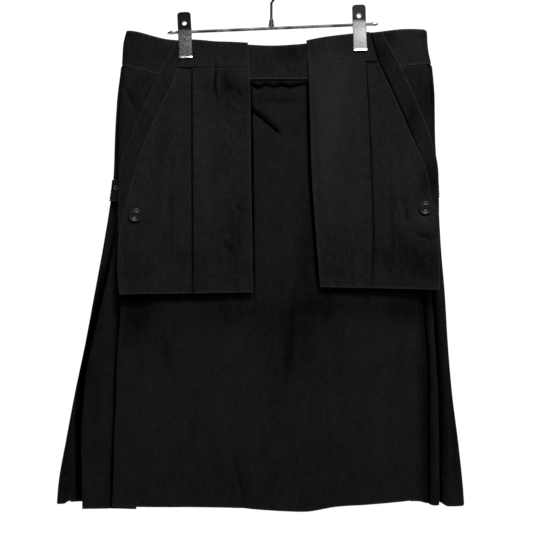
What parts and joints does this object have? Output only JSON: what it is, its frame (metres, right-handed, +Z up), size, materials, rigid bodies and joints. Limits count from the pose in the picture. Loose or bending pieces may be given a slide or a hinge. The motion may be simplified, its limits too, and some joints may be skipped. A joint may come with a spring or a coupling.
{
  "type": "pleated kilt on a clip hanger",
  "caption": "Black pleated kilt with a plain apron front, hanging pocket panels and a buttoned corner on each, held flat at the waist by a metal clip hanger.",
  "frame": {"origin": "the point inside the top of the hanger's hook that bears on a rail", "axes": "+Z up, +X to the right as the garment's front is seen, +Y to the garment's back"},
  "size_m": [0.5745, 0.0849, 0.766],
  "materials": {
    "black_twill": "matte cotton twill",
    "black_button_resin": "polished resin",
    "chromed_steel": "bright plating with light scratches",
    "spring_steel": "dull nickel"
  },
  "bodies": {
    "root": {"waistband_front": "black_twill", "waistband_back": "black_twill", "apron_front": "black_twill", "side_pleats_left": "black_twill", "side_pleats_right": "black_twill", "back_left": "black_twill", "back_right": "black_twill", "panel_band_left": "black_twill", "panel_band_right": "black_twill", "pocket_panel_left": "black_twill", "pocket_panel_right": "black_twill", "pocket_strip_left": "black_twill", "pocket_strip_right": "black_twill", "side_tab_left": "black_twill", "side_tab_right": "black_twill", "tab_eyelet_left": "spring_steel", "tab_eyelet_right": "spring_steel", "clip_left_spring": "spring_steel", "clip_right_spring": "spring_steel", "button_left": "black_button_resin", "button_right": "black_button_resin", "hanger_hook": "chromed_steel", "hanger_ferrule": "chromed_steel", "hanger_rod": "chromed_steel", "clip_left_front": "chromed_steel", "clip_left_back": "chromed_steel", "clip_right_front": "chromed_steel", "clip_right_back": "chromed_steel"}
  },
  "joints": []
}
